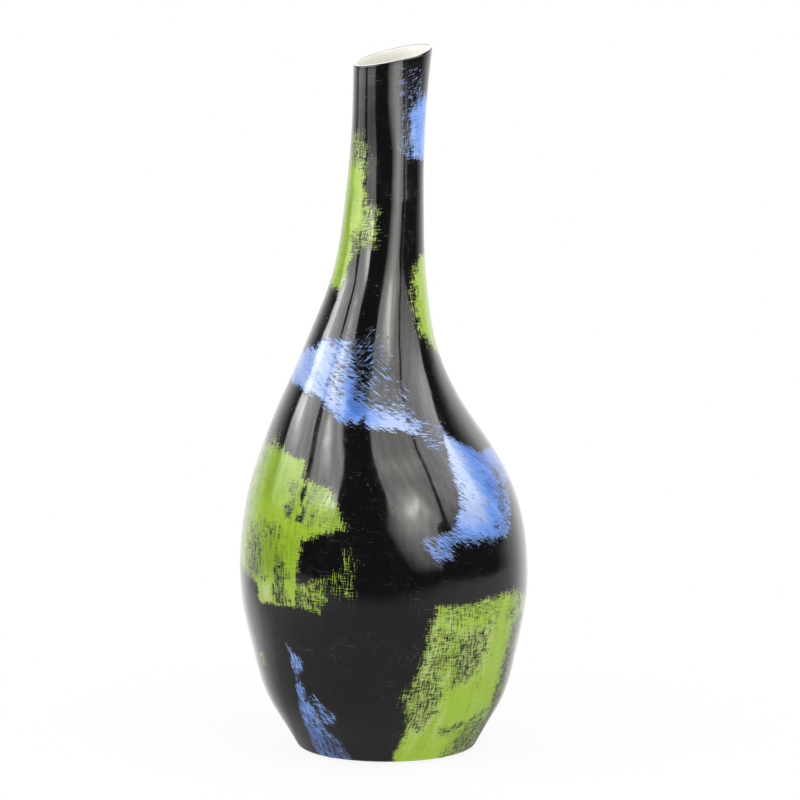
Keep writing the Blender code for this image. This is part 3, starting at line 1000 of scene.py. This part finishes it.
def lacquer_skin():
    outline, painted = skin_outline()
    made, points, height, azimuth = turned("lacquer_skin", outline, SEGMENTS, lacquer_material())
    azimuth = np.degrees(azimuth)
    green, blue, grain, hair, hatch = paint_levels(azimuth, height)
    bare = np.ones(len(outline), dtype=bool)
    bare[painted] = False
    green[bare] = NO_PAINT
    blue[bare] = NO_PAINT
    add_values(made, green_edge=green, blue_edge=blue, tint=tint_levels(azimuth, height))
    ring = np.dstack([points[..., :2], height])
    add_values(made, hair=hair, hatch=hatch, grain=grain, ring=ring)
    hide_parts("lower_bowl", "shoulder_shell", "neck_tube")
    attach(made, "root")


# How far down the painted highlight on the lip reaches, in millimetres, and where the dark crest line
# (partly painted shade) starts and its depth
LIP_HIGHLIGHT_REACH = 1.6
CREST_SHADE_START = 0.3
CREST_SHADE_DEPTH = 0.3 * MM


def pale_coat():
    """The pale coat, with a painted highlight that lightens its lip, and the thin dark line along the
    crest at the back, which is partly the lacquer's edge and partly painted shade.
    """
    made, _, height, azimuth = turned("pale_coat", coat_outline(), COAT_SEGMENTS, lining_material())
    # Mask of the dark crest line, only at the back: partly the lacquer's edge, partly painted shade
    at_back = np.clip(-2 * np.cos(azimuth) - CREST_SHADE_START, 0, 1)
    crest = at_back * np.clip((height - MOUTH_HEIGHT) / CREST_SHADE_DEPTH + 1, 0, 1)
    # Mask of the painted highlight that lightens the top of the rim all round
    lip = np.clip((height - MOUTH_HEIGHT) / MM + LIP_HIGHLIGHT_REACH, 0, 1)
    add_values(made, lip=lip, crest=crest)
    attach(made, "root")


BOARD_EASE = 0.4 * MM
BOARD_RINGS = 9


def floor_board():
    """The floor: a round board with eased edges, bedded against the wall."""
    low = skin_radius(DISC_BOTTOM, BODY_WALL) - COAT_GAP
    high = skin_radius(DISC_TOP, BODY_WALL) - COAT_GAP
    shares = np.linspace(0, 1, BOARD_RINGS + 1)[1:]
    outline = [
        *[(low * share - BOARD_EASE, DISC_BOTTOM) for share in shares],
        (low, DISC_BOTTOM + BOARD_EASE),
        (high, DISC_TOP - BOARD_EASE),
        *[(high * share - BOARD_EASE, DISC_TOP) for share in shares[::-1]],
    ]
    radius, height = np.array(outline).T[..., None]
    azimuth = np.linspace(-pi, pi, COAT_SEGMENTS, endpoint=False)
    points = round_points(MIDDLE.at(height), 0, radius, azimuth, height)
    made = capped_body("floor_board", points, board_material())
    made.data.set_sharp_from_angle(angle=SHARP_ANGLE)
    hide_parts("floor_disc")
    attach(made, "root")


# The pads: the lobes of their slightly uneven rim, and their section from the middle of the bottom to
# the middle of the top, in shares of the radius and of the thickness
PAD_COUNT = 4
PAD_SEGMENTS = 64
PAD_UNEVEN = 0.008
PAD_LOBES = (5, 3)
PAD_SECTION = (
    (0.3, 0), (0.7, 0), (0.96, 0), (0.99, 0.12), (1, 0.5), (0.99, 0.88), (0.96, 1), (0.7, 1), (0.3, 1),
)


def felt_pad(number, material):
    """A round pad cut from felt, with a soft upper and lower edge and a slightly uneven rim."""
    node = f"foot_pad_{number}"
    low, high = (np.array(corner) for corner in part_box(node))
    middle = (low + high) / 2
    azimuth = np.linspace(0, 2 * pi, PAD_SEGMENTS, endpoint=False)
    many, few = PAD_LOBES
    uneven = 1 - PAD_UNEVEN * (1 + np.sin(many * azimuth + number) * np.sin(few * azimuth))
    out, up = np.array(PAD_SECTION).T[..., None]
    radius = out * uneven * (high[0] - low[0]) / 2
    height = low[2] + up * (high[2] - low[2])
    points = round_points(middle[0], middle[1], radius, azimuth, height)
    made = capped_body(f"felt_pad_{number}", points, material)
    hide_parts(node)
    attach(made, "root")


# Studio


PANEL_EDGE = 1.6


@dataclass
class Softbox:
    """A bent light panel on the ring round the vase. The edges are (height, azimuth) and the levels
    (height, radiance). A spot is (azimuth, height, radiance, spread across, up and down in metres).
    The softness is (height, width in degrees) of the left edge's fade."""

    name: str
    left: list
    right: list
    levels: list
    spots: list
    tint: tuple
    softness: Sequence = ((0.0, PANEL_EDGE),)


STUDIO_RADIUS = 0.6
PANEL_COLUMNS = 24
PANEL_ROW = 0.005
PANEL_SHARE = 0.52
SOFTBOXES = [
    Softbox(
        "softbox_far_left",
        [(0.22, -106), (0.37, -110), (0.41, -109), (0.46, -106), (0.95, -106)],
        [(0.22, -76), (0.36, -76), (0.42, -73), (0.95, -73)],
        [(0.22, 1.0), (0.33, 2.8), (0.40, 4.4), (0.95, 4.4)],
        [(-100, 0.435, 8, 0.08, 0.05, 0.05), (-90, 0.51, 3, 0.07, 0.06, 0.025)],
        rgb(1.0, 0.985, 0.985),
    ),
    Softbox(
        "softbox_left",
        [
            (0.22, -67.5), (0.36, -67.5), (0.42, -68), (0.52, -67.5), (0.56, -66), (0.60, -67),
            (0.95, -68),
        ],
        [(0.22, -37.5), (0.95, -37.5)],
        [(0.22, 0.8), (0.29, 1.6), (0.312, 2.5), (0.332, 4.2), (0.42, 4.6), (0.95, 5.0)],
        [
            (-42, 0.365, 9, 0.07, 0.07, 0.02), (-55, 0.560, 10, 0.035, 0.05, 0.04),
            (-58, 0.545, 4, 0.015, 0.03, 0.03),
        ],
        rgb(1.0, 1.0, 0.975),
    ),
    Softbox(
        "softbox_right",
        [
            (0.06, 30), (0.10, 27), (0.15, 22), (0.20, 15), (0.28, 8.5), (0.41, 6), (0.50, 5.5), (0.56, 4),
            (0.64, 0.5), (0.72, -3), (0.95, -9),
        ],
        [(0.06, 46), (0.24, 45), (0.278, 44), (0.31, 50.5), (0.95, 50.5)],
        [
            (0.06, 0.0), (0.09, 0.2), (0.13, 1.45), (0.17, 2.1), (0.25, 3.5), (0.6, 3.0), (0.7, 4.5),
            (0.78, 3.0), (0.95, 3.0),
        ],
        [
            (26, 0.42, 5, 0.11, 0.12, 0.07), (30, 0.44, 7, 0.035, 0.06, 0.05),
            (24, 0.39, 6, 0.04, 0.04, 0.05), (38, 0.36, 3, 0.03, 0.05, 0.05),
            (28, 0.29, 2.2, 0.08, 0.06, 0.04),
        ],
        rgb(1.0, 1.0, 0.95),
        [(0.06, 14), (0.26, 14), (0.38, 6), (0.50, 1.6), (0.95, 1.6)],
    ),
    Softbox(
        "softbox_far_right",
        [(0.23, 57), (0.27, 55), (0.32, 54), (1.5, 54)],
        [(0.23, 58), (0.285, 58.5), (0.30, 63), (0.33, 96), (0.95, 98), (1.5, 98)],
        [
            (0.23, 0.0), (0.26, 0.8), (0.285, 1.0), (0.30, 1.9), (0.345, 2.4), (0.40, 3.2), (0.5, 3.6),
            (1.5, 3.6),
        ],
        [(88, 0.55, 2.6, 0.14, 0.14, 0.14)],
        rgb(1.0, 0.985, 0.985),
    ),
]


# Waves in the light from the panels' cloth: radians per degree of azimuth, radians per metre of
# height, and the start
CLOTH_WAVES = ((1.31, 9, 0), (0.83, -14, 1), (0.47, 31, 2))
CLOTH_CONTRAST = 0.09


def uneven_cloth(azimuth, height):
    """How much the cloth adds to a panel's light at these places, as a share of it."""
    streaks = [np.sin(turn * azimuth + rise * height + start) for turn, rise, start in CLOTH_WAVES]
    return CLOTH_CONTRAST * sum(streaks)


def spot_light(spots, azimuth, height):
    """Radiance that the spots add at these places of a panel."""
    total = np.zeros(azimuth.shape)
    for turn, high, radiance, wide, up, down in spots:
        across = np.radians(azimuth - turn) * STUDIO_RADIUS / wide
        along = (height - high) / np.where(height > high, up, down)
        total += radiance * np.exp(-(across**2) - along**2)
    return total


def softbox_panel(box):
    """The panel as a fine grid that faces the vase, with its radiance in a float attribute."""
    low, high = box.left[0][0], box.left[-1][0]
    height = np.linspace(low, high, round((high - low) / PANEL_ROW) + 1)[:, None]
    fading = profile(box.softness, height)
    left = profile(box.left, height) - fading / 2
    right = profile(box.right, height) + PANEL_EDGE / 2
    share = (1 - np.cos(np.linspace(0, pi, PANEL_COLUMNS + 1))) / 2
    azimuth = left + share * (right - left)
    inwards = np.minimum((azimuth - left) / fading, (right - azimuth) / PANEL_EDGE)
    even = (1 + uneven_cloth(azimuth, height)) * np.clip(inwards, 0, 1)
    glow = profile(box.levels, height) + spot_light(box.spots, azimuth, height)
    points = round_points(0, 0, STUDIO_RADIUS, np.radians(azimuth), height)
    made = mesh_object(box.name, points, quads(numbered(points).T), softbox_material(box))
    add_values(made, glow=glow * even * PANEL_SHARE)
    made.visible_camera = False


def softbox_material(box):
    """Light from the side that faces the vase, and none from the back."""
    made = bpy.data.materials.new(box.name)
    graph = emptied(made)
    light = graph.emission(graph.attribute("glow"), box.tint)
    facing = graph.node("ShaderNodeNewGeometry").outputs["Backfacing"]
    graph.node("ShaderNodeOutputMaterial", Surface=graph.mix_shader(facing, light, graph.emission(0.0)))
    return made


# The table as the gloss sees it: its edges, how far they fade, and its shade beside the vase
TABLE_SIDE = 0.95
TABLE_FRONT = -0.51
TABLE_BACK = 1.2
TABLE_FADE = 0.15
TABLE_FRONT_FADE = 0.16
TABLE_GLOSS = 0.33
TABLE_SHADE = 0.6
TABLE_SHADE_REACH = (0.05, 0.45)

# The dark room, and the white backdrop behind the vase that it turns to between two azimuths on the
# left and two on the right: in the world, far off on the floor and near the vase. The last line is
# the distances between which near turns to far.
ROOM = 0.032
BACKDROP = 0.9
BACKDROP_EDGES = ((114, 150), (112, 144))
SWEEP_EDGES = ((95, 150), (95, 145))
NEAR_SWEEP = 1.0
NEAR_SWEEP_EDGES = ((55, 160), (80, 160))
SWEEP_BLEND = (0.25, 0.6)

# The floor as the camera sees it: its own light, the light that it takes, and the ring where it turns
# to plain white
FLOOR_REACH = 8.0
FLOOR_GLOW = 0.90
FLOOR_TAKES = 1 - FLOOR_GLOW
SHADOW_EDGE = (0.11, 0.3)


def behind_mask(graph, x, y, edges):
    """1 towards the white backdrop behind the vase and 0 towards the dark room, by direction."""
    turn = graph.math("ARCTAN2", x, graph.times(y, -1))
    sides = zip((graph.times(turn, -1), turn), edges)
    return graph.most(*(graph.fade(side, *map(radians, edge)) for side, edge in sides))


def floor():
    """The white floor. The camera sees it with the vase's soft shadow, and the gloss sees it as a
    white table top that ends in the dark room."""
    corners = np.array([(-1, -1, 0), (1, -1, 0), (1, 1, 0), (-1, 1, 0)]) * FLOOR_REACH
    made = mesh_object("floor", corners, [(0, 1, 2, 3)], floor_material())
    made.visible_diffuse = False
    made.visible_shadow = False


def floor_in_gloss(graph, x, y, apart):
    """Brightness of the floor as the gloss sees it."""
    aside = graph.math("ABSOLUTE", x)
    table = graph.times(
        graph.fade(aside, TABLE_SIDE - TABLE_FADE, TABLE_SIDE + TABLE_FADE, 1, 0),
        graph.fade(aside, *TABLE_SHADE_REACH, TABLE_SHADE, 1),
        graph.fade(y, TABLE_FRONT - TABLE_FRONT_FADE, TABLE_FRONT + TABLE_FRONT_FADE),
        graph.fade(y, TABLE_BACK - TABLE_FADE, TABLE_BACK + TABLE_FADE, 1, 0),
    )
    far = graph.times(behind_mask(graph, x, y, SWEEP_EDGES), BACKDROP)
    near = graph.times(behind_mask(graph, x, y, NEAR_SWEEP_EDGES), NEAR_SWEEP)
    sweep = graph.blend_value(graph.fade(apart, *SWEEP_BLEND), near, far)
    return graph.most(graph.add(ROOM, graph.times(table, TABLE_GLOSS)), sweep)


def floor_material():
    made = bpy.data.materials.new("floor")
    graph = emptied(made)
    geometry = graph.node("ShaderNodeNewGeometry").outputs
    x, y, _ = graph.split(geometry["Position"])
    apart = graph.math("SQRT", graph.add(graph.times(x, x), graph.times(y, y)))
    takes = graph.node("ShaderNodeBsdfDiffuse", Color=rgb(*[FLOOR_TAKES] * 3)).outputs[0]
    lit = graph.ordered("ShaderNodeAddShader", graph.emission(FLOOR_GLOW), takes)
    seen = graph.mix_shader(graph.fade(apart, *SHADOW_EDGE), lit, graph.emission(1.0))
    in_gloss = graph.emission(floor_in_gloss(graph, x, y, apart))
    top = graph.mix_shader(graph.node("ShaderNodeLightPath").outputs["Is Glossy Ray"], seen, in_gloss)
    clear = graph.node("ShaderNodeBsdfTransparent").outputs[0]
    graph.node("ShaderNodeOutputMaterial", Surface=graph.mix_shader(geometry["Backfacing"], top, clear))
    return made


# Soft light on the object from the table, the ceiling and all round, and the upward parts of the
# direction between which the backdrop ends, the ceiling starts and the table ends
TABLE_BOUNCE = 0.75
CEILING = 0.3
AMBIENT = 0.35
BACKDROP_TOP = (0.75, 0.9)
CEILING_EDGE = (0.75, 0.95)
TABLE_EDGE = (-0.12, 0.02)


def world():
    """White for the camera. For the gloss, a dark room with a white backdrop behind the vase. For
    the rest, soft light from the table, the ceiling and the backdrop."""
    made = bpy.data.worlds.new("studio")
    bpy.context.scene.world = made
    graph = emptied(made)
    x, y, z = graph.split(graph.node("ShaderNodeTexCoord").outputs["Generated"])
    backdrop = behind_mask(graph, x, y, BACKDROP_EDGES)
    backdrop = graph.times(backdrop, graph.fade(z, *BACKDROP_TOP, 1, 0))
    room = graph.add(ROOM, graph.times(backdrop, BACKDROP - ROOM))
    soft = graph.add(
        graph.times(graph.fade(z, *TABLE_EDGE, 1, 0), TABLE_BOUNCE),
        graph.times(graph.fade(z, *CEILING_EDGE), CEILING),
        graph.times(backdrop, BACKDROP),
        AMBIENT,
    )
    path = graph.node("ShaderNodeLightPath").outputs
    strength = graph.blend_value(path["Is Glossy Ray"], soft, room)
    seen = graph.blend_value(path["Is Camera Ray"], strength, 1.0)
    light = graph.node("ShaderNodeBackground", Color=rgb(1, 1, 1), Strength=seen)
    graph.node("ShaderNodeOutputWorld", Surface=light.outputs[0])


CAMERA_DISTANCE = 4.0
CAMERA_ELEVATION = radians(9.6)
CAMERA_TARGET = (0.0097, 0.0, 0.2089)
CAMERA_LENS = 304.3
CAMERA_SENSOR = 36.0


def camera():
    data = bpy.data.cameras.new("camera")
    data.lens = CAMERA_LENS
    data.sensor_width = CAMERA_SENSOR
    made = bpy.data.objects.new("camera", data)
    x, y, z = CAMERA_TARGET
    back = CAMERA_DISTANCE * cos(CAMERA_ELEVATION)
    made.location = (x, y - back, z + CAMERA_DISTANCE * sin(CAMERA_ELEVATION))
    made.rotation_euler = (pi / 2 - CAMERA_ELEVATION, 0, 0)
    bpy.context.scene.collection.objects.link(made)
    bpy.context.scene.camera = made


def main():
    camera()
    world()
    floor()
    for box in SOFTBOXES:
        softbox_panel(box)
    lacquer_skin()
    pale_coat()
    floor_board()
    felt = felt_material()
    for number in range(1, PAD_COUNT + 1):
        felt_pad(number, felt)
    bpy.context.scene.view_settings.view_transform = "Standard"


main()
